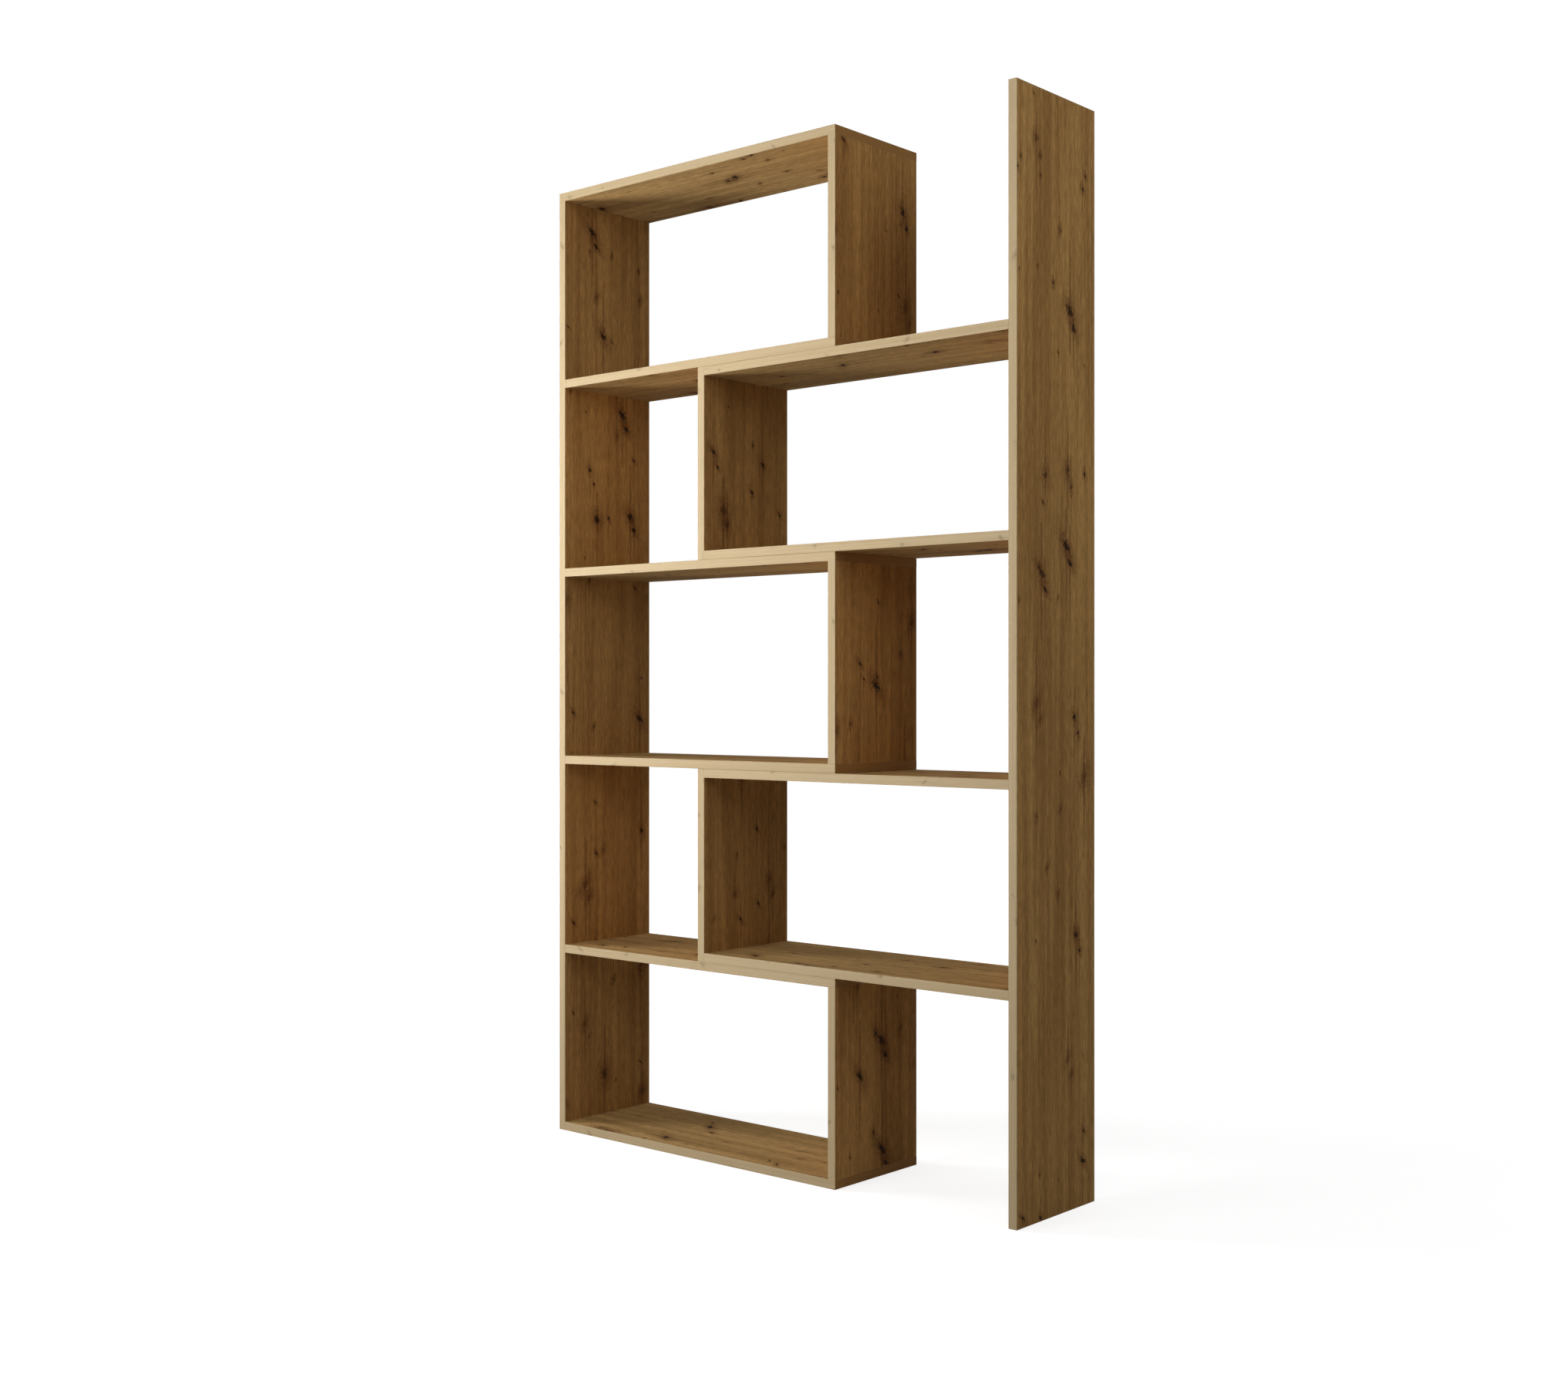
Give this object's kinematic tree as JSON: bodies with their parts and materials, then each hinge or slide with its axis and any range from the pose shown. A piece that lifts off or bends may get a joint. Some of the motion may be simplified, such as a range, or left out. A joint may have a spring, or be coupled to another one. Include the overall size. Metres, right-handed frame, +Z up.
{
  "type": "extending bookcase",
  "caption": "Tall open bookcase in knotty oak finish: a fixed module and a sliding module interlock, so its staggered open shelves draw out sideways to a greater width.",
  "frame": {"origin": "on the floor, under the middle of the unit as drawn out in the picture", "axes": "+X along the shelves towards the sliding module, -Y the front, +Z up"},
  "size_m": [1.2, 0.26, 2.08],
  "materials": {
    "oak_board": "matt knotty oak decor on chipboard",
    "oak_edging": "matt pale oak edging with fine lengthwise grain",
    "dowel_beech": "raw beech",
    "fitting_zinc": "zinc plated",
    "bracket_steel": "zinc plated sheet"
  },
  "bodies": {
    "fixed_module": {"top_board": "oak_board", "fixed_shelf_upper": "oak_board", "fixed_shelf_mid_upper": "oak_board", "fixed_shelf_mid_lower": "oak_board", "fixed_shelf_lower": "oak_board", "bottom_board": "oak_board", "left_side": "oak_board", "fixed_divider_top": "oak_board", "fixed_divider_middle": "oak_board", "fixed_divider_bottom": "oak_board", "top_board_edging": "oak_edging", "fixed_shelf_upper_edging": "oak_edging", "fixed_shelf_mid_upper_edging": "oak_edging", "fixed_shelf_mid_lower_edging": "oak_edging", "fixed_shelf_lower_edging": "oak_edging", "bottom_board_edging": "oak_edging", "left_side_edging": "oak_edging", "fixed_divider_top_edging": "oak_edging", "fixed_divider_middle_edging": "oak_edging", "fixed_divider_bottom_edging": "oak_edging", "fixed_cam_locks": "fitting_zinc", "fixed_cam_bolts": "fitting_zinc", "fixed_dowels": "dowel_beech", "wall_brackets": "bracket_steel", "bracket_screws": "fitting_zinc"},
    "sliding_module": {"right_side": "oak_board", "sliding_upper_end": "oak_board", "sliding_upper_floor": "oak_board", "sliding_upper_top": "oak_board", "sliding_lower_end": "oak_board", "sliding_lower_floor": "oak_board", "sliding_lower_top": "oak_board", "right_side_edging": "oak_edging", "sliding_upper_end_edging": "oak_edging", "sliding_upper_floor_edging": "oak_edging", "sliding_upper_top_edging": "oak_edging", "sliding_lower_end_edging": "oak_edging", "sliding_lower_floor_edging": "oak_edging", "sliding_lower_top_edging": "oak_edging", "sliding_cam_locks": "fitting_zinc", "sliding_cam_bolts": "fitting_zinc", "sliding_dowels": "dowel_beech"}
  },
  "joints": [
    {"name": "module_slide", "type": "slide", "parent": "fixed_module", "child": "sliding_module", "axis": [1, 0, 0], "range_m": [-0.399, 0.25]}
  ]
}
